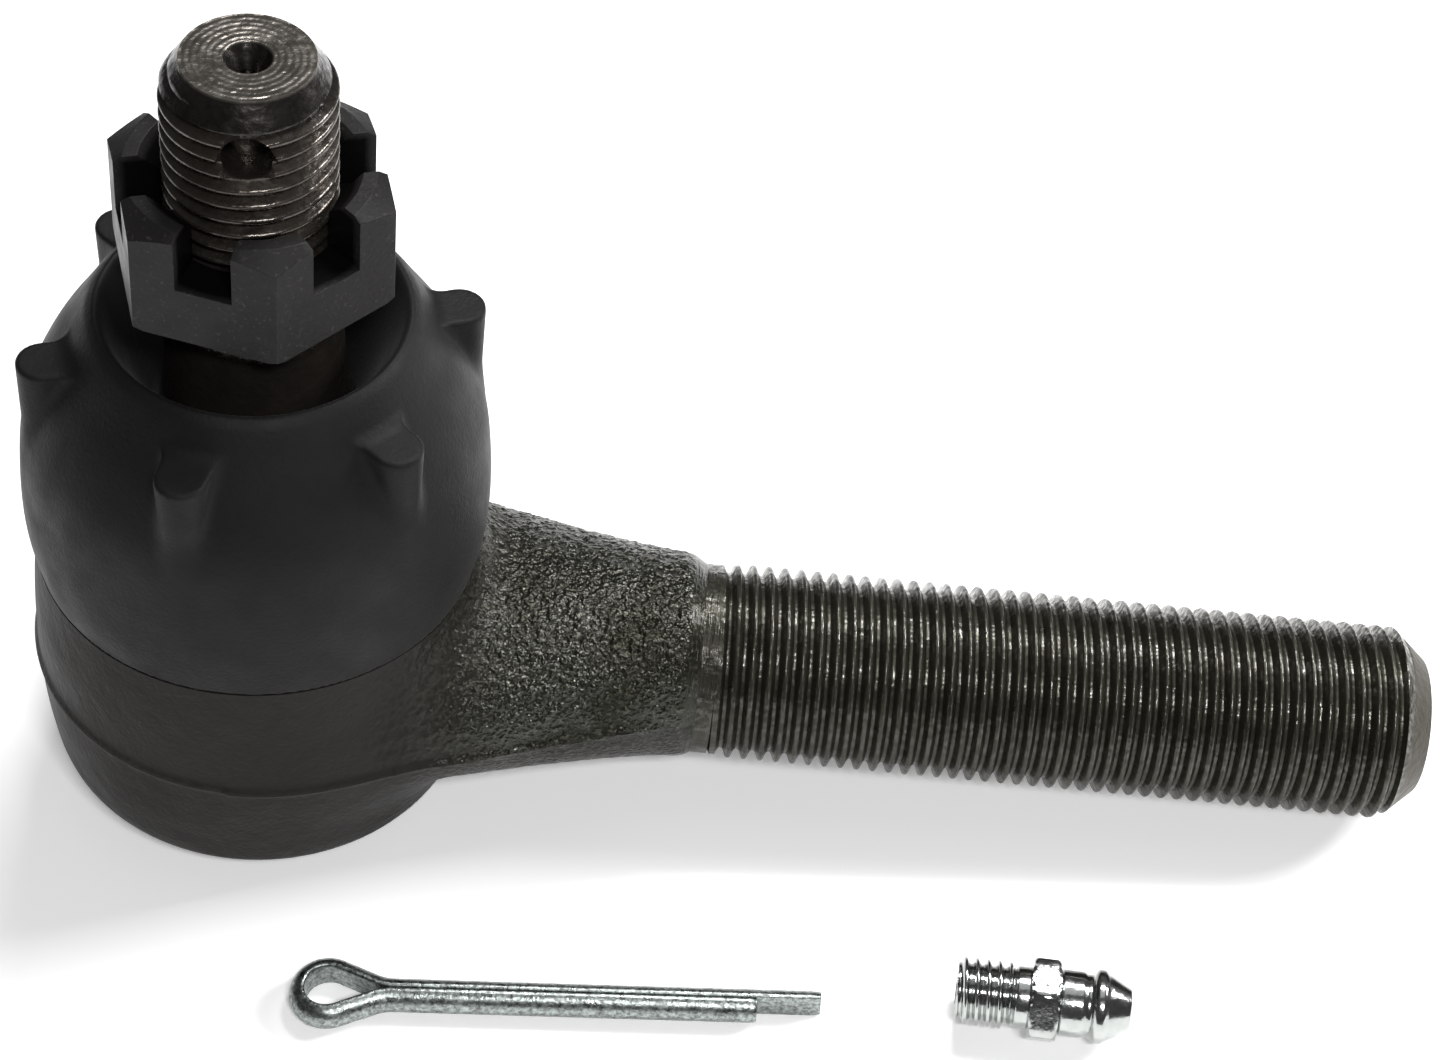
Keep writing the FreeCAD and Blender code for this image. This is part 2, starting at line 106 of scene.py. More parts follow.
# the neck's outlines as (half width, place along X) and (half height, place along X)
NECK_WIDTH = [
    (17.5, 4.0), (15.9, 14.0), (14.7, 19.0), (13.2, 24.0),
    (11.75, 29.0), (10.4, 34.0), (9.5, 38.5), (9.4, 41.67),
]
NECK_HEIGHT = [
    (10.6, 4.0), (9.9, 14.0), (9.6, 19.0), (9.4, 24.0),
    (9.3, 29.0), (9.3, 34.0), (9.4, 38.5), (9.4, 41.67),
]

FOOT_R = 15.55
FOOT_Z = 14.9
ROOM_TOP_Z = 36.4
ROOM_TOP_R = 12.3
MOUTH_R = 12.5
MOUTH_Z = 39.7
LUG_TURN = math.radians(18.9)
LUG_W = 4.4
LUG_OUT = 19.7
LUG_IN = 13.5
LUG_TOP = 36.3
LUG_LOW = 25.0
LIP_R = 8.35
LIP_OUT = 9.5
LIP_LOW = 25.5
LIP_TOP = 30.0
# the boot is cut in two at SPLIT; both walls stand still, and only the lip with its funnel goes with the
# garter
BOOT_SPLIT = 25.0

PIN_R = 1.45
PIN_EYE_R = 2.0
PIN_BEND_R = 5.0
PIN_BEND_X = 5.9
PIN_GAP = 0.04
PIN_LONG = 43.7
PIN_SHORT = 38.0
PIN_AT = (10.1, -31.1)
PIN_YAW = 1.5

FIT_R = 3.0
FIT_MINOR = 2.45
FIT_FIRST = 0.45
FIT_CRESTS = 5
FIT_PITCH = 1.0
FIT_THREAD = 5.0
FIT_BORE_R = 1.35
FIT_BARREL_R = 2.95
FIT_GROOVE_R = 2.75
FIT_HEAD_R = 3.3
FIT_END_X = 15.4
HEX_HALF = 3.5
HEX_ROUND_R = 3.98
HEX_START = 6.45
HEX_STOP = 9.05
FIT_AT = (65.4, -28.6)
FIT_YAW = -4.8

NET_STEP = 0.34
LAST_CREST = SHANK_FIRST + (SHANK_CRESTS - 1) * PITCH
REST = math.atan2(-SHANK_R - RIM_Z, LAST_CREST - REST_RIM_R)


# ---------------------------------------------------------------- mesh helpers
def add_mesh(name, co, faces, sharp=35.0, merge=1e-4):
    """Object from millimetre points and faces, smooth but for edges sharper than an angle."""
    mesh = bpy.data.meshes.new(name)
    mesh.from_pydata((np.asarray(co, float) * MM).tolist(), [], [list(map(int, f)) for f in faces])
    if merge:
        bm = bmesh.new()
        bm.from_mesh(mesh)
        bmesh.ops.remove_doubles(bm, verts=bm.verts, dist=merge * MM)
        bmesh.ops.dissolve_degenerate(bm, edges=bm.edges, dist=1e-9)
        bmesh.ops.recalc_face_normals(bm, faces=bm.faces)
        bm.to_mesh(mesh)
        bm.free()
    mesh.validate()
    mesh.shade_smooth()
    if sharp:
        mesh.set_sharp_from_angle(angle=math.radians(sharp))
    obj = bpy.data.objects.new(name, mesh)
    bpy.context.scene.collection.objects.link(obj)
    return obj


def smooth_line(points, n=200):
    """Dense natural cubic through points (value, height), as arrays (height, value)."""
    p = np.array(points, float)
    z, r = p[:, 1], p[:, 0]
    h = np.diff(z)
    m = len(z)
    a = np.zeros((m, m))
    b = np.zeros(m)
    a[0, 0] = a[-1, -1] = 1
    for i in range(1, m - 1):
        a[i, i - 1 : i + 2] = (h[i - 1], 2 * (h[i - 1] + h[i]), h[i])
        b[i] = 6 * ((r[i + 1] - r[i]) / h[i] - (r[i] - r[i - 1]) / h[i - 1])
    k = np.linalg.solve(a, b)
    zz = np.linspace(z[0], z[-1], n)
    i = np.clip(np.searchsorted(z, zz) - 1, 0, m - 2)
    d, t = h[i], zz - z[i]
    e = d - t
    curve = (k[i] * e**3 + k[i + 1] * t**3) / (6 * d)
    return zz, curve + (r[i] / d - k[i] * d / 6) * e + (r[i + 1] / d - k[i + 1] * d / 6) * t


def rounded(points, radius, steps=4):
    """Polyline with its inner corners rounded."""
    out = [points[0]]
    for a, b, c in zip(points, points[1:], points[2:]):
        a, b, c = map(np.array, (a, b, c))
        u, v = a - b, c - b
        lu, lv = np.linalg.norm(u), np.linalg.norm(v)
        r = min(radius, 0.4 * lu, 0.4 * lv)
        p, q = b + u / lu * r, b + v / lv * r
        for t in np.linspace(0, 1, steps + 1):
            out.append(tuple((1 - t) ** 2 * p + 2 * t * (1 - t) * b + t * t * q))
    out.append(points[-1])
    return out


def straight_rows(points, seg):
    """Rows of (distance, radius) from an outline of (radius, distance)."""
    return [(np.full(seg, float(z)), np.full(seg, float(r))) for r, z in points]


def round_rows(rows, seg, along="z"):
    """Points and quads from rows of (distance, radius), closed around."""
    ang = np.arange(seg) * TAU / seg
    co = np.concatenate([np.stack([r * np.cos(ang), r * np.sin(ang), d], 1) for d, r in rows])
    if along == "x":
        co = co[:, [2, 0, 1]]
    k = np.arange(len(rows) - 1)[:, None] * seg
    j = np.arange(seg)[None, :]
    n = (j + 1) % seg
    quads = np.stack([k + j, k + n, k + seg + n, k + seg + j], -1).reshape(-1, 4)
    return co, quads


def lathe(name, points, seg):
    co, quads = round_rows(straight_rows(points, seg), seg)
    return add_mesh(name, co, quads)


def threaded(first, crests, pitch, major, minor, start, stop, envelope, seg, along, before, after):
    """A turned piece with a true right-hand helical thread between start and stop.

    The envelope trims the thread; before and after are the plain outlines that close the piece.
    """
    ang = np.arange(seg) * TAU / seg
    half = [(0.0, 1.0), (0.10, 0.95), (0.17, 0.80), (0.31, 0.25), (0.40, 0.04)]
    shape = [(-0.5, 0.0)] + [(-u, h) for u, h in half[:0:-1]] + half
    n = len(shape)
    rows = []
    for turn in range(-3, crests + 3):
        for u, h in shape:
            x = first + (turn + u) * pitch + ang / TAU * pitch
            r = minor + (major - minor) * h + 0 * ang
            x = np.clip(x, start, stop)
            rows.append((x, np.minimum(r, envelope(x))))
    co = np.concatenate([np.stack([r * np.cos(ang), r * np.sin(ang), d], 1) for d, r in rows])
    corner = np.arange(len(rows) - 1)[:, None] * seg + np.arange(seg - 1)[None, :]
    quads = np.stack([corner, corner + 1, corner + seg + 1, corner + seg], -1).reshape(-1, 4)
    k = np.arange(len(rows) - 1 - n)
    wrap = np.stack([k * seg + seg - 1, (k + n) * seg, (k + 1 + n) * seg, (k + 1) * seg + seg - 1], -1)
    quads = np.concatenate([quads, wrap])
    first_edge, last_edge = [(float(envelope(np.array([at]))[0]), at) for at in (start, stop)]
    for outline in (list(before) + [first_edge], [last_edge] + list(after)):
        c2, q2 = round_rows(straight_rows(outline, seg), seg)
        quads = np.concatenate([quads, q2 + len(co)])
        co = np.concatenate([co, c2])
    if along == "x":
        co = co[:, [2, 0, 1]]
    return co, quads


def surface_net(field, low, high, h, steps=3):
    """Quad skin of field = 0, pulled exactly onto it."""
    low, high = np.array(low, float), np.array(high, float)
    n = np.ceil((high - low) / h).astype(int) + 1
    axes = [low[i] + h * np.arange(n[i]) for i in range(3)]
    gx, gy, gz = np.meshgrid(*axes, indexing="ij")
    f = field(gx, gy, gz)
    c = np.array(f.shape) - 1
    acc = np.zeros((*c, 3))
    cnt = np.zeros(tuple(c))
    faces = []
    grid = np.indices(tuple(c)).astype(float)
    for ax in range(3):
        o1, o2 = (ax + 1) % 3, (ax + 2) % 3
        lo = [slice(None)] * 3
        hi = [slice(None)] * 3
        lo[ax], hi[ax] = slice(0, -1), slice(1, None)
        f0, f1 = f[tuple(lo)], f[tuple(hi)]
        cross = (f0 < 0) != (f1 < 0)
        t = np.where(cross, f0 / np.where(cross, f0 - f1, 1), 0)
        for d1 in (0, 1):
            for d2 in (0, 1):
                sl = [slice(None)] * 3
                sl[o1] = slice(d1, d1 + c[o1])
                sl[o2] = slice(d2, d2 + c[o2])
                m = cross[tuple(sl)]
                acc[..., ax] += np.where(m, grid[ax] + t[tuple(sl)], 0)
                acc[..., o1] += np.where(m, grid[o1] + d1, 0)
                acc[..., o2] += np.where(m, grid[o2] + d2, 0)
                cnt += m
        idx = np.argwhere(cross)
        ok = (idx[:, o1] > 0) & (idx[:, o1] < c[o1]) & (idx[:, o2] > 0) & (idx[:, o2] < c[o2])
        idx = idx[ok]
        inside = f0[tuple(idx.T)] < 0
        quad = []
        for a, b in ((-1, -1), (0, -1), (0, 0), (-1, 0)):
            q = idx.copy()
            q[:, o1] += a
            q[:, o2] += b
            quad.append(q)
        quad = np.stack(quad, 1)
        quad[~inside] = quad[~inside][:, ::-1]
        faces.append(quad)
    used = cnt > 0
    number = -np.ones(tuple(c), int)
    number[used] = np.arange(used.sum())
    co = low + h * acc[used] / cnt[used][:, None]
    faces = np.concatenate(faces)
    quads = number[faces[..., 0], faces[..., 1], faces[..., 2]]
    e = 0.02
    for _ in range(steps):
        x, y, z = co.T
        v = field(x, y, z)
        slopes = [
            field(x + e, y, z) - field(x - e, y, z),
            field(x, y + e, z) - field(x, y - e, z),
            field(x, y, z + e) - field(x, y, z - e),
        ]
        g = np.stack(slopes, 1) / (2 * e)
        move = v[:, None] * g / np.maximum((g * g).sum(1), 0.25)[:, None]
        size = np.linalg.norm(move, axis=1)
        co -= move * np.minimum(1, 0.5 * h / np.maximum(size, 1e-9))[:, None]
    return co, quads


def smin(a, b, k):
    """The smaller of two distances, blended over a width k."""
    h = np.clip(0.5 + 0.5 * (b - a) / k, 0, 1)
    return b * (1 - h) + a * h - k * h * (1 - h)


def smax(a, b, k):
    return -smin(-a, -b, k)


def hashed(i, j, k):
    """Repeatable random number for a whole-number place."""
    n = (i * 374761393 + j * 668265263 + k * 2147483647) & 0xFFFFFFFF
    n = ((n ^ (n >> 13)) * 1274126177) & 0xFFFFFFFF
    n = ((n ^ (n >> 16)) * 2246822519) & 0xFFFFFFFF
    return ((n ^ (n >> 15)) & 0xFFFF) / 65535.0 * 2 - 1


def value_noise(x, y, z, size):
    """Smooth noise from -1 to 1 with lumps of a given size."""
    p = [np.asarray(v, float) / size for v in (x, y, z)]
    cell = [np.floor(v).astype(np.int64) for v in p]
    f = [v - c for v, c in zip(p, cell)]
    f = [v * v * (3 - 2 * v) for v in f]
    total = 0
    for a in (0, 1):
        for b in (0, 1):
            for c in (0, 1):
                wx = f[0] if a else 1 - f[0]
                wy = f[1] if b else 1 - f[1]
                wz = f[2] if c else 1 - f[2]
                total = total + wx * wy * wz * hashed(cell[0] + a, cell[1] + b, cell[2] + c)
    return total


def apply_modifiers(obj):
    """Keep the shape that the modifiers give."""
    deps = bpy.context.evaluated_depsgraph_get()
    done = bpy.data.meshes.new_from_object(obj.evaluated_get(deps))
    obj.modifiers.clear()
    obj.data = done


def cut_out(obj, cutter):
    """Take the cutter's volume away from the object, then drop the cutter."""
    mod = obj.modifiers.new("cut", "BOOLEAN")
    mod.object = cutter
    mod.operation = "DIFFERENCE"
    mod.solver = "EXACT"
    apply_modifiers(obj)
    bpy.data.objects.remove(cutter)


def from_cad(node, name, width, angle=28.0, segments=2):
    """A node's own shape with its edges rounded off; the rounded faces are material 1."""
    bm = bmesh.new()
    bm.from_mesh(nodes[node].data)
    bmesh.ops.remove_doubles(bm, verts=bm.verts, dist=1e-6)
    bmesh.ops.dissolve_limit(bm, angle_limit=math.radians(1.0), verts=bm.verts, edges=bm.edges)
    for face in bm.faces:
        face.material_index = 0
    edges = [e for e in bm.edges if len(e.link_faces) == 2 and e.calc_face_angle(0) > math.radians(angle)]
    shape = {"offset": width * MM, "segments": segments, "profile": 0.5, "clamp_overlap": True}
    bmesh.ops.bevel(bm, geom=edges, affect="EDGES", material=1, **shape)
    mesh = bpy.data.meshes.new(name)
    bm.to_mesh(mesh)
    bm.free()
    mesh.shade_smooth()
    mesh.set_sharp_from_angle(angle=math.radians(50))
    obj = bpy.data.objects.new(name, mesh)
    bpy.context.scene.collection.objects.link(obj)
    mod = obj.modifiers.new("even", "WEIGHTED_NORMAL")
    mod.keep_sharp = True
    mod.weight = 90
    apply_modifiers(obj)
    return obj


def lay_down(co, x, y, height, yaw_deg):
    """Where a loose piece lies, on the surface that the part rests on."""
    a, t = math.radians(yaw_deg), REST
    turn = np.array([[math.cos(a), -math.sin(a), 0], [math.sin(a), math.cos(a), 0], [0, 0, 1]])
    tip = np.array([[math.cos(t), 0, -math.sin(t)], [0, 1, 0], [math.sin(t), 0, math.cos(t)]])
    up = np.array([-math.sin(t), 0, math.cos(t)])
    ground = up @ np.array([REST_RIM_R, 0, RIM_Z])
    z = (ground + height - up[0] * x) / up[2]
    return co @ turn.T @ tip.T + np.array([x, y, z])


# ---------------------------------------------------------------- material helpers
class Mat:
    """A node material that reads the object's own coordinates."""

    def __init__(self, name, color, metal, rough, **more):
        self.m = bpy.data.materials.new(name)
        self.m.use_nodes = True
        self.t = self.m.node_tree
        self.b = self.t.nodes["Principled BSDF"]
        self.b.inputs["Base Color"].default_value = (*color, 1)
        self.b.inputs["Metallic"].default_value = metal
        self.b.inputs["Roughness"].default_value = rough
        for key, value in more.items():
            self.b.inputs[key.replace("_", " ")].default_value = value
        self.co = self.node("ShaderNodeTexCoord").outputs["Object"]

    def node(self, kind, **sets):
        n = self.t.nodes.new(kind)
        for key, value in sets.items():
            setattr(n, key, value)
        return n

    def link(self, a, b):
        self.t.links.new(a, b)

    def feed(self, name, out):
        self.link(out, self.b.inputs[name])

    def put(self, value, socket):
        """Link an output to a socket, or write a plain number or colour into it."""
        if hasattr(value, "is_linked"):
            self.link(value, socket)
        elif hasattr(value, "__len__"):
            socket.default_value = (*value, 1)
        else:
            socket.default_value = value

    def noise(self, scale, detail, rough, stretch=None):
        n = self.node("ShaderNodeTexNoise")
        n.inputs["Scale"].default_value = scale
        n.inputs["Detail"].default_value = detail
        n.inputs["Roughness"].default_value = rough
        if stretch:
            mp = self.node("ShaderNodeMapping")
            mp.inputs["Scale"].default_value = stretch
            self.link(self.co, mp.inputs["Vector"])
            self.link(mp.outputs["Vector"], n.inputs["Vector"])
        else:
            self.link(self.co, n.inputs["Vector"])
        return n.outputs["Fac"]

    def range(self, fac, a, b, c, d):
        n = self.node("ShaderNodeMapRange")
        for key, v in zip(("From Min", "From Max", "To Min", "To Max"), (a, b, c, d)):
            n.inputs[key].default_value = v
        self.link(fac, n.inputs["Value"])
        return n.outputs["Result"]

    def mix(self, fac, a, b):
        """Colour a or b by a mask."""
        n = self.node("ShaderNodeMix", data_type="RGBA", blend_type="MIX")
        self.link(fac, n.inputs["Factor"])
        for side, value in (("A", a), ("B", b)):
            self.put(value, [s for s in n.inputs if s.name == side and s.type == "RGBA"][0])
        return [s for s in n.outputs if s.type == "RGBA"][0]

    def blend(self, fac, a, b):
        """Number a or b by a mask."""
        n = self.node("ShaderNodeMix", data_type="FLOAT")
        self.link(fac, n.inputs["Factor"])
        self.put(a, n.inputs["A"])
        self.put(b, n.inputs["B"])
        return n.outputs["Result"]

    def math(self, op, a, b=0.5, c=None):
        n = self.node("ShaderNodeMath", operation=op)
        for i, value in enumerate((a, b) if c is None else (a, b, c)):
            self.put(value, n.inputs[i])
        return n.outputs[0]

    def times(self, a, b):
        return self.math("MULTIPLY", a, b)

    def axis(self, name):
        n = self.node("ShaderNodeSeparateXYZ")
        self.link(self.co, n.inputs[0])
        return n.outputs[name]

    def along(self, name, start, stop, low=0, high=1):
        """Value that runs from low to high between two millimetre places on an axis."""
        return self.range(self.axis(name), start * MM, stop * MM, low, high)

    def spots(self, scale, seen, values, detail=4, rough=0.6):
        """Noise whose span seen is stretched over a span of values."""
        return self.range(self.noise(scale, detail, rough), *seen, *values)

    def tint(self, scale, low, high, detail=4, rough=0.6):
        """Colour that wanders between two tones."""
        return self.mix(self.noise(scale, detail, rough), low, high)

    def color(self, out):
        self.feed("Base Color", out)

    def rough(self, out):
        self.feed("Roughness", out)

    def bump(self, *layers):
        """Layers of (height, distance in metres, strength)."""
        last = None
        for h, dist, strength in layers:
            n = self.node("ShaderNodeBump")
            n.inputs["Distance"].default_value = dist
            n.inputs["Strength"].default_value = strength
            self.link(h, n.inputs["Height"])
            if last:
                self.link(last, n.inputs["Normal"])
            last = n.outputs["Normal"]
        self.feed("Normal", last)
        self.feed("Coat Normal", last)


def dress(obj, mat):
    """Give an object its only material."""
    obj.data.materials.clear()
    obj.data.materials.append(mat.m)


# ---------------------------------------------------------------- materials
def forged_steel():
    """Dry forged socket, blasted neck wet with oil and with painted glints on its grains, turned cone and
    dark parting line.
    """
    mat = Mat("forged_steel", (0.05, 0.045, 0.038), 0.15, 0.5, Specular_IOR_Level=0.14, Coat_Roughness=0.12)
    on_neck = mat.along("X", 14, 24)
    on_cone = mat.along("X", 38.8, 39.3)
    above = mat.along("Z", -3, 2, 0.05, 1)
    oiled = mat.times(on_neck, above)
    grain = mat.noise(2500, 1.0, 0.4)
    patch = mat.noise(90, 4, 0.6)
    tone = mat.mix(patch, (0.0095, 0.0086, 0.0076), (0.0180, 0.0165, 0.0143))
    wet_tone = mat.tint(38, (0.0145, 0.0136, 0.0108), (0.0205, 0.0208, 0.0138))
    tone = mat.mix(oiled, tone, wet_tone)
    # painted highlight: a light colour on the neck's grain peaks stands in for glints
    painted_grain_glints = mat.times(mat.range(grain, 0.58, 0.68, 0, 0.5), on_neck)
    tone = mat.mix(painted_grain_glints, tone, (0.085, 0.088, 0.066))
    tone = mat.mix(mat.times(parting_mask(mat), 0.85), tone, (0.006, 0.0055, 0.005))
    mat.color(tone)
    mat.feed("Metallic", mat.math("MULTIPLY_ADD", oiled, 0.62, 0.08))
    dry = mat.range(patch, 0.3, 0.7, 0.46, 0.60)
    mat.rough(mat.blend(on_neck, dry, mat.spots(700, (0.35, 0.65), (0.24, 0.4), 3)))
    film = mat.times(mat.spots(110, (0.36, 0.56), (0.05, 0.5)), on_neck)
    mat.feed("Coat Weight", mat.times(film, above))
    relief = mat.times(grain, mat.blend(on_cone, mat.blend(on_neck, 0.15, 0.95), 0.05))
    lumps = mat.noise(420, 3, 0.5)
    fine = mat.noise(5200, 4, 0.6)
    marks = mat.times(mat.noise(3000, 3, 0.6, (1, 0.1, 0.1)), on_cone)
    mat.bump((lumps, 0.0006, 0.35), (relief, 0.00030, 1.0), (fine, 0.00002, 0.6), (marks, 0.0002, 1.0))
    return mat


def parting_mask(mat):
    """An uneven, broken line along the forging's parting plane, which climbs along the neck."""
    climb = mat.along("X", 20, 38, 0.0006, -0.0007)
    off = mat.times(mat.math("ADD", mat.axis("Z"), climb), 5200.0)
    waver = mat.spots(160, (0.3, 0.7), (-0.7, 0.7), 3, 0.5)
    off = mat.math("ABSOLUTE", mat.math("ADD", off, waver))
    broken = mat.spots(130, (0.38, 0.52), (0.25, 1), 3)
    return mat.times(mat.range(off, 0.4, 1.7, 1, 0), broken)


def oiled_thread():
    """Rolled thread under an uneven oil film, with turning marks on the relief and a dry end."""
    mat = Mat("oiled_thread", (0.05, 0.045, 0.038), 0.75, 0.3, Specular_IOR_Level=0.3, Coat_Roughness=0.12)
    on_end = mat.along("X", 105, 105.6)
    on_relief = mat.along("X", 42.2, 42.6, 1, 0)
    dark = mat.tint(160, (0.024, 0.0215, 0.0180), (0.056, 0.0545, 0.0400))
    mat.color(mat.mix(on_end, dark, (0.075, 0.068, 0.056)))
    mat.rough(mat.blend(on_end, mat.spots(500, (0.3, 0.7), (0.26, 0.46), 3, 0.5), 0.5))
    film = mat.times(mat.spots(1500, (0.44, 0.60), (0.0, 0.9), 3), mat.along("Z", -2, 3, 0.08, 1.0))
    mat.feed("Coat Weight", mat.blend(on_end, film, 0.0))
    marks = mat.times(mat.noise(3000, 3, 0.6, (1, 0.1, 0.1)), on_relief)
    waves = mat.noise(1300, 2, 0.45)
    fine = mat.noise(4200, 3, 0.6)
    mat.bump((marks, 0.0002, 1.0), (waves, 0.00014, 0.8), (fine, 0.00003, 0.6))
    return mat


def stud_steel():
    """Brownish oiled steel with painted shade darkening the chamfer, and turning rings on the end face."""
    mat = Mat("stud_steel", (0.06, 0.05, 0.042), 0.8, 0.36, Coat_Roughness=0.2)
    on_top = mat.along("Z", 65.2, 65.35)
    painted_chamfer_shade = mat.along("Z", 62.5, 62.9)
    rings = mat.node("ShaderNodeTexWave", wave_type="RINGS", rings_direction="Z")
    rings.inputs["Scale"].default_value = 560
    rings.inputs["Distortion"].default_value = 0.8
    mat.link(mat.co, rings.inputs["Vector"])
    side = mat.tint(220, (0.030, 0.025, 0.022), (0.085, 0.072, 0.060))
    # painted shade: the chamfer gets a darker colour that stands in for the shade it shows
    side = mat.mix(painted_chamfer_shade, side, (0.022, 0.019, 0.017))
    top = mat.mix(rings.outputs["Fac"], (0.105, 0.096, 0.085), (0.128, 0.118, 0.105))
    top = mat.mix(mat.spots(700, (0.4, 0.7), (0, 0.5)), top, (0.075, 0.066, 0.058))
    mat.color(mat.mix(on_top, side, top))
    mat.rough(mat.spots(600, (0.3, 0.7), (0.2, 0.36), 3, 0.5))
    mat.feed("Coat Weight", mat.blend(on_top, mat.spots(1100, (0.4, 0.6), (0.0, 0.7), 3), 0.0))
    ring_height = mat.times(rings.outputs["Fac"], on_top)
    mat.bump((mat.noise(1300, 2, 0.45), 0.00012, 0.7), (ring_height, 0.00003, 0.6))
    return mat


def black_oxide():
    """Satin black nut with pale specks, with painted shade darkening the inside of its slots and bore."""
    mat = Mat("black_oxide", (0.028, 0.027, 0.026), 0.1, 0.42, Specular_IOR_Level=0.14)
    patch = mat.noise(130, 4, 0.6)
    tone = mat.mix(patch, (0.0095, 0.009, 0.009), (0.0175, 0.0165, 0.016))
    tone = mat.mix(mat.spots(2600, (0.6, 0.75), (0, 0.4), 3), tone, (0.09, 0.085, 0.08))
    # painted shade: inside the slots and bore, below the top, colour and specular are darkened to stand in
    # for the shade there
    squares = [mat.math("POWER", mat.axis(name), 2.0) for name in "XY"]
    from_axis = mat.math("SQRT", mat.math("ADD", *squares))
    below_top = mat.along("Z", 54.0, 54.5, 1, 0)
    inner = mat.times(mat.range(from_axis, 0.0098, 0.0104, 1, 0), below_top)
    mat.color(mat.mix(inner, tone, (0.003, 0.0028, 0.0027)))
    mat.feed("Specular IOR Level", mat.blend(inner, 0.14, 0.02))
    mat.rough(mat.spots(350, (0.3, 0.7), (0.32, 0.5)))
    mat.bump((mat.noise(2000, 4, 0.6), 0.00005, 0.7), (patch, 0.0002, 0.15))
    return mat


def worn_edge():
    """Bare steel showing unevenly through the black on the nut's edges."""
    mat = Mat("worn_edge", (0.10, 0.095, 0.09), 0.85, 0.34)
    bare = mat.spots(420, (0.38, 0.62), (0, 1), 4, 0.65)
    mat.color(mat.mix(bare, (0.032, 0.030, 0.029), (0.17, 0.16, 0.15)))
    mat.rough(mat.spots(900, (0.3, 0.7), (0.26, 0.44), 3))
    mat.bump((mat.noise(2000, 4, 0.6), 0.00004, 0.6))
    return mat


def boot_rubber():
    """Matte black rubber with a fine moulded grain."""
    sheen = {"Sheen_Weight": 0.03, "Sheen_Roughness": 0.4, "Specular_IOR_Level": 0.12}
    mat = Mat("boot_rubber", (0.014, 0.0135, 0.0135), 0.0, 0.55, **sheen)
    mat.color(mat.tint(60, (0.0062, 0.0058, 0.0060), (0.0105, 0.0100, 0.0098)))
    mat.rough(mat.spots(240, (0.3, 0.7), (0.44, 0.62)))
    mat.bump((mat.noise(2600, 4, 0.6), 0.00007, 0.7), (mat.noise(150, 3, 0.5), 0.0003, 0.14))
    return mat


def zinc_wire():
    """Mottled zinc on drawn wire."""
    mat = Mat("zinc_wire", (0.45, 0.48, 0.49), 1.0, 0.3)
    mat.color(mat.mix(mat.spots(2400, (0.36, 0.62), (0, 1), 5, 0.7), (0.10, 0.104, 0.10), (0.38, 0.42, 0.41)))
    mat.rough(mat.spots(1800, (0.3, 0.7), (0.20, 0.42)))
    drawn = mat.noise(500, 3, 0.5, (0.15, 1, 1))
    mat.bump((mat.noise(3000, 4, 0.6), 0.00006, 0.7), (drawn, 0.00012, 0.4))
    return mat


def bright_plate():
    """Bright plating on the grease fitting."""
    mat = Mat("bright_plate", (0.8, 0.82, 0.81), 1.0, 0.12)
    mat.color(mat.tint(700, (0.34, 0.355, 0.345), (0.54, 0.56, 0.545)))
    mat.rough(mat.spots(1500, (0.3, 0.7), (0.08, 0.22)))
    mat.bump((mat.noise(3200, 3, 0.5), 0.00003, 0.5))
    return mat


def ball_steel():
    mat = Mat("ball_steel", (0.8, 0.8, 0.82), 1.0, 0.08)
    mat.rough(mat.spots(3000, (0.3, 0.7), (0.05, 0.14), 3, 0.5))
    return mat


def spring_steel():
    mat = Mat("spring_steel", (0.22, 0.21, 0.20), 1.0, 0.34)
    mat.color(mat.tint(260, (0.15, 0.14, 0.135), (0.30, 0.29, 0.275)))
    mat.rough(mat.spots(900, (0.3, 0.7), (0.26, 0.44)))
    return mat


def cover_steel():
    mat = Mat("cover_steel", (0.12, 0.115, 0.11), 0.8, 0.45)
    mat.color(mat.tint(180, (0.075, 0.072, 0.068), (0.17, 0.165, 0.155), 5, 0.65))
    mat.rough(mat.spots(500, (0.3, 0.7), (0.36, 0.56)))
    mat.bump((mat.noise(1600, 4, 0.6), 0.00006, 0.5))
    return mat


def moulded_plastic(name, base, rough, low, high):
    mat = Mat(name, base, 0.0, rough)
    mat.color(mat.tint(140, low, high))
    mat.bump((mat.noise(1800, 3, 0.5), 0.00004, 0.5))
    return mat


forge = forged_steel()
turned = oiled_thread()
stud_mat = stud_steel()
nut_mat = black_oxide()
worn_mat = worn_edge()
rubber = boot_rubber()
zinc = zinc_wire()
bright = bright_plate()
spring_mat = spring_steel()
plate_mat = cover_steel()
liner_mat = moulded_plastic("liner_plastic", (0.66, 0.63, 0.54), 0.5, (0.58, 0.55, 0.46), (0.72, 0.69, 0.60))
seat_mat = moulded_plastic("seat_plastic", (0.5, 0.47, 0.4), 0.45, (0.42, 0.40, 0.33), (0.56, 0.53, 0.45))

dress(nodes["ball_liner"], liner_mat)
dress(nodes["pressure_seat"], seat_mat)
for key in ("disc_spring", "boot_base_band", "garter_ring", "fitting_spring"):
    dress(nodes[key], spring_mat)
dress(nodes["fitting_ball"], ball_steel())


# ---------------------------------------------------------------- housing
barrel_z, barrel_r = smooth_line(BARREL)
width_x, width_y = smooth_line(NECK_WIDTH)
height_x, height_z = smooth_line(NECK_HEIGHT)


def parting_z(x):
    """Height of the forging's parting line, which climbs a little along the neck."""
    return -0.1 + 1.3 * np.clip((x - 20) / 18, 0, 1)


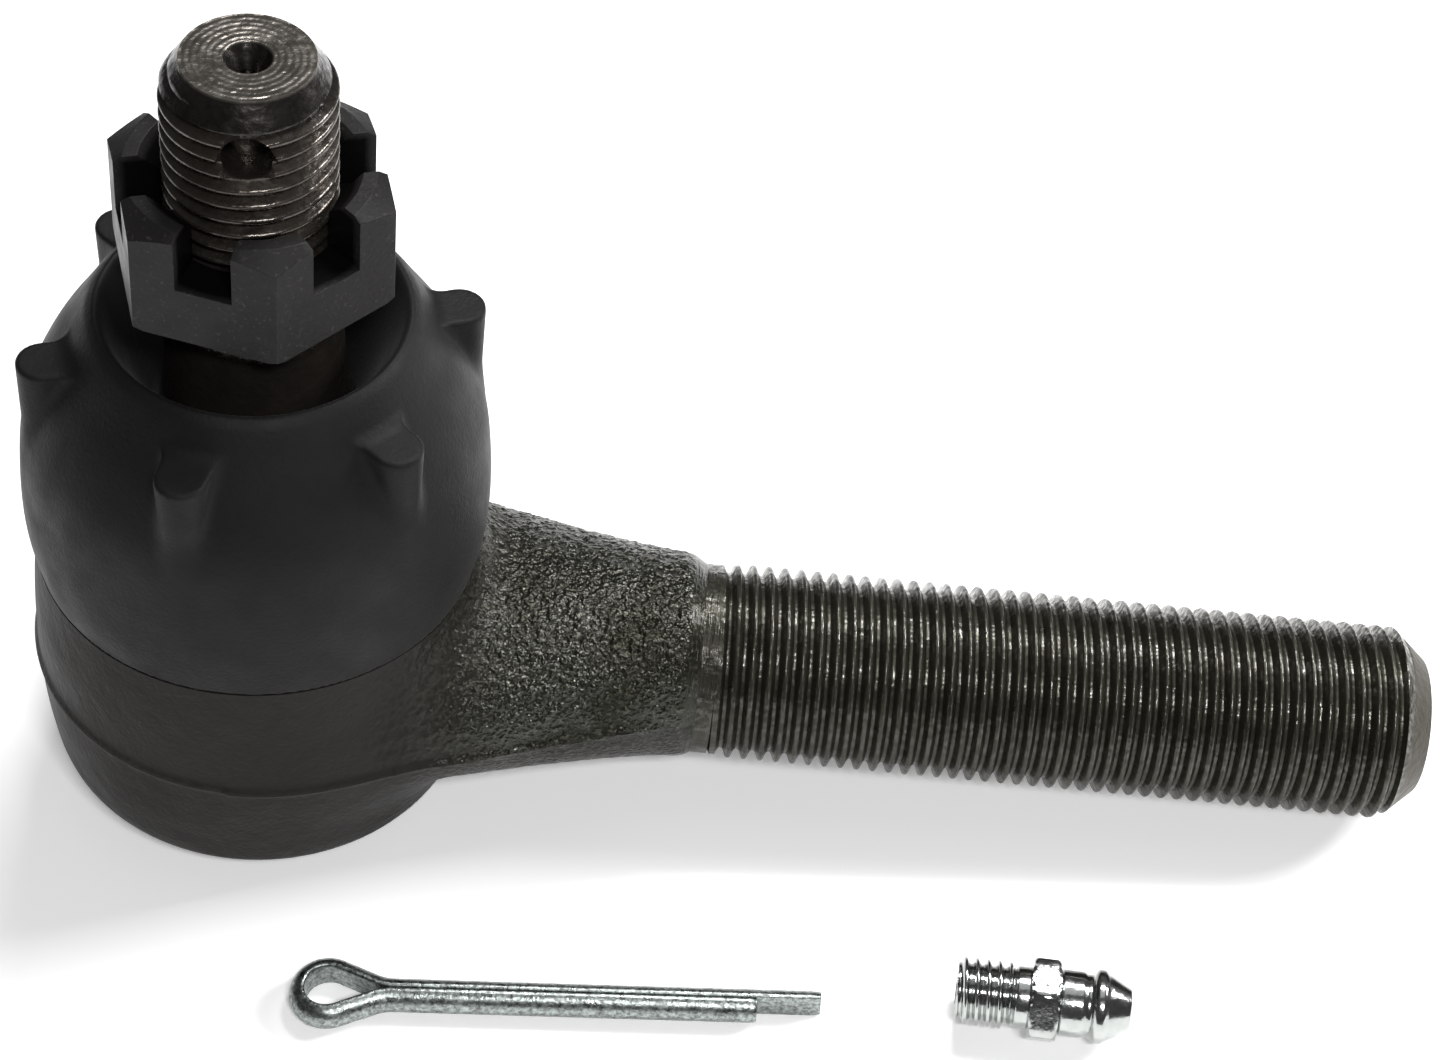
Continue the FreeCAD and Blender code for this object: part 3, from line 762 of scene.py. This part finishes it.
def forging(x, y, z):
    """Outside of socket, neck and shoulder: negative inside, about millimetres from the skin."""
    side = np.hypot(x, y) - np.interp(z, barrel_z, barrel_r)
    socket = smax(side, -13.3 - z, 3.4)
    half_y = np.interp(x, width_x, width_y)
    half_z = np.interp(x, height_x, height_z)
    rise = 0.3 * np.clip((x - 20) / 18, 0, 1)
    arm = (np.sqrt((y / half_y) ** 2 + ((z - rise) / half_z) ** 2) - 1) * np.minimum(half_y, half_z)
    arm = np.maximum(arm, 2.0 - x)
    shoulder = (np.hypot(y, z) - SHOULDER_R + (x - SHOULDER_X + 0.4) * 0.62) * 0.85
    arm = smax(arm, shoulder, 0.35)
    flash = 0.34 * np.exp(-((z - parting_z(x)) / 0.42) ** 2) * np.clip((38.5 - x) / 2, 0, 1)
    return smin(socket, arm, 3.2) - flash


def granules(x, y, z):
    """Height of the shot-blasted grains, strongest on the upper neck."""
    where = np.clip((x - 11.0) / 3, 0, 1) * np.clip((39.2 - x) / 0.8, 0, 1) * np.clip((12.0 - z) / 0.4, 0, 1)
    upper = 0.25 + 0.75 * np.clip((z + 1.5) / 5, 0, 1)
    return where * upper * (0.12 * value_noise(x, y, z, 0.42) + 0.05 * value_noise(x, y, z, 0.9) - 0.04)


def roughen_neck(bm):
    """Split the neck's faces and lift its points by the grains."""
    low_x = 10.5 * MM
    top_z = 11.9 * MM
    neck = []
    for edge in bm.edges:
        if min(v.co.x for v in edge.verts) > low_x and max(v.co.z for v in edge.verts) < top_z:
            neck.append(edge)
    bmesh.ops.subdivide_edges(bm, edges=neck, cuts=1, use_grid_fill=True)
    bm.normal_update()
    bm.verts.ensure_lookup_table()
    co = np.array([v.co for v in bm.verts]) / MM
    normals = np.array([v.normal for v in bm.verts])
    co = co + normals * granules(*co.T)[:, None]
    for vert, place in zip(bm.verts, co.tolist()):
        vert.co = [MM * value for value in place]


def housing_skin():
    """Forged skin, open where the turned core and the shank take over."""
    co, quads = surface_net(forging, (-21.5, -21.5, -14.2), (43.0, 21.5, 13.2), NET_STEP)
    mid = co[quads].mean(1)
    in_rim = (np.hypot(mid[:, 0], mid[:, 1]) < 15.2) & (mid[:, 2] < -11)
    in_shank = (mid[:, 0] > 38) & (np.hypot(mid[:, 1], mid[:, 2]) < RELIEF_R - 0.1)
    obj = add_mesh("housing_forging", co, quads[~in_rim & ~in_shank], sharp=None)
    bm = bmesh.new()
    bm.from_mesh(obj.data)
    geom = bm.verts[:] + bm.edges[:] + bm.faces[:]
    bmesh.ops.bisect_plane(bm, geom=geom, plane_co=(0, 0, TOP_Z * MM), plane_no=(0, 0, 1), clear_outer=True)
    bmesh.ops.delete(bm, geom=[v for v in bm.verts if not v.link_faces], context="VERTS")
    roughen_neck(bm)
    bm.to_mesh(obj.data)
    bm.free()
    obj.data.shade_smooth()
    return obj


def opening_r(z):
    """Radius of the flared mouth that clears the stud's neck in any direction of swing."""
    tilt = math.acos(math.cos(SWING_ROOM) ** 2)
    return z * math.tan(tilt) + NECK_R / math.cos(tilt) + 0.4


def housing_core():
    """Top face, collar, flared mouth, seat, bore, ledge and rolled rim."""
    seat_top = math.radians(39.6)
    seat = [(SEAT_R * math.cos(a), SEAT_R * math.sin(a)) for a in np.linspace(seat_top, 0, 16)]
    collar = [(COLLAR_R + 0.05, TOP_Z), (COLLAR_R, TOP_Z + 0.05), (COLLAR_R, COLLAR_Z - 0.2)]
    collar += [(COLLAR_R - 0.2, COLLAR_Z), (opening_r(COLLAR_Z) + 0.2, COLLAR_Z)]
    mouth = [(opening_r(COLLAR_Z - 0.2), COLLAR_Z - 0.2), (opening_r(seat[0][1]), seat[0][1])]
    ledge = [(SEAT_R, COVER_SEAT_Z), (COVER_SEAT_R, COVER_SEAT_Z)]
    ledge += [(COVER_SEAT_R, COVER_LOW_Z), (RIM_MOUTH_R, COVER_LOW_Z)]
    rim = [(RIM_MOUTH_R, RIM_Z + 0.8), (RIM_MOUTH_R + 0.8, RIM_Z), (14.1, RIM_Z)]
    rim += [(15.0, RIM_Z + 0.5), (15.15, RIM_Z + 1.25), (16.2, RIM_Z + 1.78)]
    outline = [(19.56, TOP_Z - 0.03), (19.4, TOP_Z)] + collar + mouth + seat + ledge + rounded(rim, 0.5, 5)
    return lathe("housing_socket_rim", outline[::-1], 144)


def shank_envelope(x):
    run_in = RELIEF_R + (SHANK_R - RELIEF_R) * np.clip((x - 42.4) / 1.6, 0, 1) + 0 * x
    cone = SHANK_END_R + (SHANK_END - x) * (SHANK_R - SHANK_END_R) / SHANK_CHAMFER
    return np.minimum(np.minimum(run_in, cone), SHANK_R)


def threaded_shank():
    relief = [(0.0, 38.6), (8.2, 38.6), (RELIEF_R, 39.0), (RELIEF_R, 41.7)]
    end = [(SHANK_END_R, SHANK_END), (SHANK_END_R - 0.2, SHANK_END), (1.75, SHANK_END)]
    end += [(0.7, SHANK_END - 1.7), (0.0, SHANK_END - 2.4)]
    ends = (relief, rounded(end, 0.15, 3)[1:])
    size = (SHANK_FIRST, SHANK_CRESTS, PITCH, SHANK_R, SHANK_MINOR, SHANK_START, SHANK_END)
    co, quads = threaded(*size, shank_envelope, 144, "x", *ends)
    return add_mesh("housing_shank", co, quads, sharp=40)


for obj, mat in ((housing_skin(), forge), (housing_core(), forge), (threaded_shank(), turned)):
    dress(obj, mat)
    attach(obj, "socket")
    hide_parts("housing")

cover = from_cad("cover_plate", "cover_disc", 0.2)
dress(cover, plate_mat)
cover.data.materials.append(plate_mat.m)
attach(cover, "socket")
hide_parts("cover_plate")


# ---------------------------------------------------------------- ball stud
def stud_envelope(z):
    low = UNDERCUT_R + np.clip((z - 42.1) / 0.9, 0, 1) * (STUD_R - UNDERCUT_R)
    top = STUD_END_R + (STUD_END - z) * (STUD_R - STUD_END_R) / STUD_CHAMFER
    return np.minimum(np.minimum(low, top), STUD_R)


def stud_below_thread():
    """Flattened ball, neck, flare, taper and undercut."""
    flat_r = math.sqrt(BALL_R**2 - BALL_FLAT_Z**2)
    join_z = math.sqrt(BALL_R**2 - BALL_JOIN_R**2)
    turn = np.linspace(math.atan2(BALL_FLAT_Z, flat_r), math.atan2(join_z, BALL_JOIN_R), 40)
    ball = [(BALL_R * math.cos(a), BALL_R * math.sin(a)) for a in turn]
    neck = [(NECK_R + 0.1, join_z + 0.5), (NECK_R, join_z + 1.1)]
    flare = [(NECK_R, 17.0), (6.3, 17.9), (6.65, 18.8), (7.2, 19.5), (7.8, 20.1), (8.4, 20.5)]
    undercut = [TAPER_TOP, (STUD_R, 40.9), (UNDERCUT_R, 41.4), (UNDERCUT_R, STUD_START - 0.1)]
    outline = [(0.0, BALL_FLAT_Z), (flat_r - 0.2, BALL_FLAT_Z)] + ball + neck
    return outline + rounded(flare + [TAPER_TOP], 0.4, 2) + rounded(undercut, 0.2, 2)[1:]


def ball_stud():
    """Stud with its thread, centre drilling and cotter hole."""
    end = [(STUD_END_R, STUD_END), (STUD_END_R - 0.2, STUD_END), (1.95, STUD_END)]
    end += [(0.8, STUD_END - 1.9), (0.8, STUD_END - 3.6), (0.0, STUD_END - 4.0)]
    ends = (stud_below_thread(), rounded(end, 0.12, 3)[1:])
    size = (STUD_FIRST, STUD_CRESTS, PITCH, STUD_R, STUD_MINOR, STUD_START, STUD_END)
    co, quads = threaded(*size, stud_envelope, 128, "z", *ends)
    stud = add_mesh("stud_body", co, quads, sharp=40)
    half = [(HOLE_R * 2, -9.0), (HOLE_R, -6.0), (HOLE_R, 6.0), (HOLE_R * 2, 9.0)]
    cutter = lathe("cutter", rounded([(0.0, -9.0)] + half + [(0.0, 9.0)], 0.3, 3), 48)
    way = Vector((math.sin(HOLE_TURN), -math.cos(HOLE_TURN), 0))
    aim = way.to_track_quat("Z", "Y").to_matrix().to_4x4()
    cutter.data.transform(Matrix.Translation((0, 0, HOLE_Z * MM)) @ aim)
    cut_out(stud, cutter)
    stud.data.shade_smooth()
    stud.data.set_sharp_from_angle(angle=math.radians(40))
    return stud


stud = ball_stud()
dress(stud, stud_mat)
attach(stud, "stud")
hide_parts("ball_stud")

nut = from_cad("castle_nut", "nut_castle", 0.28, 28.0, 3)
dress(nut, nut_mat)
nut.data.materials.append(worn_mat.m)
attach(nut, "nut")
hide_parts("castle_nut")


# ---------------------------------------------------------------- dust boot
boot_z, boot_r = smooth_line(BOOT)
room_z, room_r = smooth_line(BOOT_IN)


def boot_lugs(x, y, z):
    """Six narrow lugs that lean into the dome and end flat on top."""
    r = np.hypot(x, y)
    a = np.arctan2(y, x) - LUG_TURN
    a = (a + math.pi / 6) % (math.pi / 3) - math.pi / 6
    out = r * np.cos(a)
    aside = r * np.sin(a)
    depth = np.clip((LUG_TOP - z) / 12.0, 0, 1)
    half = LUG_W / 2 - 0.75 * depth
    tip = LUG_OUT - half - 0.15 * depth
    lug = np.where(out > tip, np.hypot(out - tip, aside), np.abs(aside)) - half
    lug = smax(lug, z - LUG_TOP, 0.35)
    lug = np.maximum(lug, LUG_LOW - 3 - z)
    return np.maximum(lug, LUG_IN - out)


def boot_outside(x, y, z):
    """Dome with lugs, cut flat at its foot and hollowed by the funnel of its mouth."""
    r = np.hypot(x, y)
    dome = (r - np.interp(z, boot_z, boot_r)) * np.interp(z, [12, 28, 34, 39], [1.0, 0.97, 0.82, 0.7])
    dome = smax(dome, z - MOUTH_Z, 1.1)
    outer = smin(dome, boot_lugs(x, y, z), 0.9)
    outer = np.maximum(outer, TOP_Z + 0.03 - z)
    heights = [LIP_LOW - 2, LIP_TOP - 1, LIP_TOP, 36.0, MOUTH_Z - 0.6, MOUTH_Z + 2]
    radii = [LIP_R, LIP_R, LIP_R + 0.25, 11.0, MOUTH_R, MOUTH_R + 0.8]
    return smax(outer, (np.interp(z, heights, radii) - r) * 0.9, 0.7)


def lip_outside(z):
    """Outer radius of lip and funnel, inside the boot's room."""
    heights = [LIP_LOW - 1, LIP_TOP - 0.8, LIP_TOP + 0.6, ROOM_TOP_Z]
    return np.interp(z, heights, [LIP_OUT, LIP_OUT, LIP_OUT + 0.5, ROOM_TOP_R])


def boot_room(x, y, z):
    """The hollow between the outer wall and the lip."""
    r = np.hypot(x, y)
    wall_r = np.where(z < FOOT_Z, FOOT_R, np.interp(z, room_z, room_r))
    past_lip = np.where(z > LIP_LOW, lip_outside(z) - r, -5.0)
    room = smax(r - wall_r, past_lip, 0.3)
    room = np.maximum(room, z - (ROOM_TOP_Z + 0.2))
    return np.where((z < LIP_LOW) & (r < wall_r - 0.4), np.minimum(room, -0.3), room)


def boot_field(x, y, z):
    return smax(boot_outside(x, y, z), -boot_room(x, y, z), 0.3)


def boot_skin():
    """The boot as one smooth skin in three parts: lower wall, upper wall, and lip with funnel."""
    co, quads = surface_net(boot_field, (-21, -21, 11.8), (21, 21, 40.6), NET_STEP)
    mid = co[quads].mean(1)
    low = mid[:, 2] <= BOOT_SPLIT
    near_axis = np.hypot(mid[:, 0], mid[:, 1]) < lip_outside(mid[:, 2]) + 0.5
    lip = ~low & (mid[:, 2] < ROOM_TOP_Z - 0.1) & near_axis
    whole = add_mesh("boot_whole", co, quads, sharp=None, merge=None)
    normals = np.zeros(len(co) * 3, np.float32)
    whole.data.vertices.foreach_get("normal", normals)
    normals = normals.reshape(-1, 3)
    bpy.data.objects.remove(whole)
    parts = []
    for name, pick in (("boot_lower", low), ("boot_upper", ~low & ~lip), ("boot_lip", lip)):
        used, inv = np.unique(quads[pick], return_inverse=True)
        part = add_mesh(name, co[used], inv.reshape(-1, 4), sharp=None, merge=None)
        part.data.normals_split_custom_set_from_vertices(normals[used].tolist())
        parts.append(part)
    return parts


boot_lower, boot_upper, boot_lip = boot_skin()
for obj in (boot_lower, boot_upper, boot_lip):
    dress(obj, rubber)
    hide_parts("dust_boot")
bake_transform(boot_lower)
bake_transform(boot_upper)
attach(boot_lip, "garter")


# ---------------------------------------------------------------- cotter pin
def pin_path():
    """Middle line of the folded wire: long leg, bend, eye and back along the short leg."""
    far = math.hypot(PIN_BEND_X, PIN_GAP + PIN_BEND_R)
    meet = math.atan2(PIN_GAP + PIN_BEND_R, PIN_BEND_X) + math.acos((PIN_EYE_R + PIN_BEND_R) / far)
    upper = [(x, PIN_GAP) for x in np.linspace(PIN_LONG, PIN_BEND_X, 90)]
    for t in np.linspace(-math.pi / 2, meet - math.pi, 14)[1:]:
        upper.append((PIN_BEND_X + PIN_BEND_R * math.cos(t), PIN_GAP + PIN_BEND_R + PIN_BEND_R * math.sin(t)))
    for t in np.linspace(meet, math.pi, 22):
        upper.append((PIN_EYE_R * math.cos(t), PIN_EYE_R * math.sin(t)))
    upper = np.array(upper)
    lower = upper[::-1][1:] * [1, -1]
    return np.concatenate([upper, lower[lower[:, 0] < PIN_SHORT], [[PIN_SHORT, -PIN_GAP]]])


def pin_section():
    """Half-round wire with its flat towards the other leg."""
    arc = np.linspace(math.pi / 2 - 0.12, -math.pi / 2 + 0.12, 15)
    flat = [(0.0, v) for v in np.linspace(-1.25, 1.25, 5)]
    bulge = [(PIN_R * math.cos(t) * 0.995 + 0.005, PIN_R * math.sin(t)) for t in arc]
    return np.array(flat + [(0.06, 1.38)] + bulge + [(0.06, -1.38)])


def cotter_pin():
    path = pin_path()
    section = pin_section()
    tan = np.gradient(path, axis=0)
    tan /= np.linalg.norm(tan, axis=1)[:, None]
    out = np.stack([tan[:, 1], -tan[:, 0]], 1)
    n = len(section)
    rings = []
    for i, (p, o) in enumerate(zip(path, out)):
        near_end = min(i, len(path) - 1 - i)
        k = (0.9, 0.97, 1.0)[min(near_end, 2)]
        s = section * k + [(1 - k) * 0.7, 0]
        rings.append(np.column_stack([p + s[:, :1] * o, s[:, 1]]))
    faces = []
    for i in range(len(path) - 1):
        for j in range(n):
            k = (j + 1) % n
            faces.append((i * n + j, i * n + k, (i + 1) * n + k, (i + 1) * n + j))
    faces.append(tuple(range(n))[::-1])
    faces.append(tuple(range((len(path) - 1) * n, len(path) * n)))
    return add_mesh("pin_wire", lay_down(np.concatenate(rings), *PIN_AT, PIN_R, PIN_YAW), faces, sharp=50)


pin = cotter_pin()
dress(pin, zinc)
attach(pin, "pin")
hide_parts("cotter_pin")


# ---------------------------------------------------------------- grease fitting
def fitting_envelope(x):
    low = FIT_MINOR + np.clip(x / 0.5, 0, 1) * (FIT_R - FIT_MINOR)
    return np.minimum(low, FIT_R - np.clip((x - FIT_THREAD + 0.3) / 0.3, 0, 1) * 0.5)


def fitting_turned():
    """Thread, collar, barrel, groove, head and nozzle, with the bore at both ends."""
    bore = [(FIT_BORE_R, 13.6), (FIT_BORE_R, 0.3), (FIT_BORE_R + 0.15, 0.0), (2.35, 0.0)]
    collar = [(2.5, FIT_THREAD), (2.55, 5.1), (FIT_GROOVE_R, 5.3), (FIT_GROOVE_R, 6.35)]
    collar += [(2.7, 6.5), (2.7, 9.1)]
    barrel = [(FIT_BARREL_R, 9.25), (FIT_BARREL_R, 11.1), (FIT_GROOVE_R, 11.5), (FIT_GROOVE_R, 11.85)]
    head = [(3.05, 12.05), (FIT_HEAD_R, 12.35), (FIT_HEAD_R, 12.95), (3.0, 13.35), (1.9, FIT_END_X)]
    nozzle = [(0.95, FIT_END_X), (0.85, FIT_END_X - 0.2), (0.85, 14.9)]
    nozzle += [(FIT_BORE_R, 14.45), (FIT_BORE_R, 13.6)]
    ends = (bore, rounded(collar + barrel + head + nozzle, 0.16, 3)[1:])
    size = (FIT_FIRST, FIT_CRESTS, FIT_PITCH, FIT_R, FIT_MINOR, 0.0, FIT_THREAD)
    co, quads = threaded(*size, fitting_envelope, 96, "x", *ends)
    return add_mesh("fitting_turned", lay_down(co, *FIT_AT, HEX_HALF, FIT_YAW), quads, sharp=40)


def fitting_hex():
    """Hexagon lying on a flat, with chamfered and slightly rounded corners."""
    seg = 96
    ang = np.arange(seg) * TAU / seg
    corner_r = HEX_HALF / np.cos(ang % (math.pi / 3) - math.pi / 6)
    corner_r = -np.logaddexp(-corner_r * 18, -HEX_ROUND_R * 18) / 18
    edge = [(0.0, 2.3), (0.0, 3.2), (0.02, 3.5), (0.17, 3.75), (0.45, 4.2)]
    caps = [(HEX_START + d, cap) for d, cap in edge] + [(HEX_STOP - d, cap) for d, cap in edge[::-1]]
    rows = [(np.full(seg, x), np.minimum(corner_r, cap)) for x, cap in caps]
    co, quads = round_rows(rows, seg, "x")
    return add_mesh("fitting_hex", lay_down(co, *FIT_AT, HEX_HALF, FIT_YAW), quads, sharp=35)


for obj in (fitting_turned(), fitting_hex()):
    dress(obj, bright)
    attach(obj, "fitting")
    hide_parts("fitting_body")


# ---------------------------------------------------------------- floor
def pale_floor():
    mat = Mat("pale_floor", (0.9, 0.9, 0.9), 0.0, 0.7, Specular_IOR_Level=0.2)
    mat.color(mat.tint(12, (0.90, 0.90, 0.895), (0.93, 0.93, 0.93), 3, 0.5))
    mat.b.inputs["Emission Color"].default_value = (1, 1, 1, 1)
    mat.b.inputs["Emission Strength"].default_value = 0.26
    return mat


def floor():
    """Flat sheet under the rolled rim and the shank's last crest, which the part rests on."""
    cells = 40
    line = np.linspace(-1.5, 1.5, cells + 1)
    gx, gy = np.meshgrid(line, line, indexing="ij")
    co = np.stack([gx.ravel(), gy.ravel(), np.zeros(gx.size)], 1)
    i, j = np.meshgrid(np.arange(cells), np.arange(cells), indexing="ij")
    k = (i * (cells + 1) + j).ravel()
    faces = np.stack([k, k + cells + 1, k + cells + 2, k + 1], 1)
    mesh = bpy.data.meshes.new("floor")
    mesh.from_pydata(co.tolist(), [], faces.tolist())
    up = Vector((-math.sin(REST), 0, math.cos(REST)))
    ground = Vector((REST_RIM_R * MM, 0, RIM_Z * MM))
    mesh.transform(Matrix.Translation(ground - up * 0.00005) @ Matrix.Rotation(-REST, 4, "Y"))
    obj = bpy.data.objects.new("floor", mesh)
    bpy.context.scene.collection.objects.link(obj)
    return obj


ground_obj = floor()
ground_obj.data.materials.append(pale_floor().m)


# ---------------------------------------------------------------- light and camera, metres
def area_light(name, place, aim, size, watts, size_y=None):
    data = bpy.data.lights.new(name, "AREA")
    data.shape = "RECTANGLE"
    data.size = size
    data.size_y = size_y or size
    data.energy = watts
    obj = bpy.data.objects.new(name, data)
    bpy.context.scene.collection.objects.link(obj)
    obj.location = place
    obj.rotation_euler = (Vector(aim) - Vector(place)).to_track_quat("-Z", "Y").to_euler()


def studio_world():
    world = bpy.data.worlds.new("studio")
    world.use_nodes = True
    background = world.node_tree.nodes["Background"]
    background.inputs["Color"].default_value = (1, 1, 1, 1)
    background.inputs["Strength"].default_value = 0.08
    return world


def photo_camera():
    data = bpy.data.cameras.new("camera")
    data.sensor_fit = "HORIZONTAL"
    data.sensor_width = 36.0
    data.lens = 75.26541
    data.clip_start = 0.01
    data.clip_end = 20.0
    obj = bpy.data.objects.new("camera", data)
    bpy.context.scene.collection.objects.link(obj)
    right = Vector((0.9946, 0.0428, 0.0950)).normalized()
    ahead = Vector((0.0409, 0.6775, -0.7343)).normalized()
    right = (right - ahead * right.dot(ahead)).normalized()
    turn = Matrix((right, right.cross(ahead).normalized(), -ahead)).transposed().to_4x4()
    obj.matrix_world = Matrix.Translation((0.0300, -0.18080, 0.21358)) @ turn
    return obj


area_light("key_light", (0.02, 0.10, 0.62), (0.03, 0, 0), 0.40, 0.3)
area_light("front_light", (0.10, -0.32, 0.43), (0.06, 0, 0), 0.13, 1.5, size_y=0.045)
area_light("back_light", (0.09, 0.23, 0.50), (0.07, 0, 0.0), 0.24, 2.6, size_y=0.09)
area_light("right_light", (0.46, 0.14, 0.34), (0.03, 0, 0.03), 0.12, 2.4, size_y=0.16)
bpy.context.scene.world = studio_world()
bpy.context.scene.camera = photo_camera()
bpy.context.scene.view_settings.view_transform = "Standard"
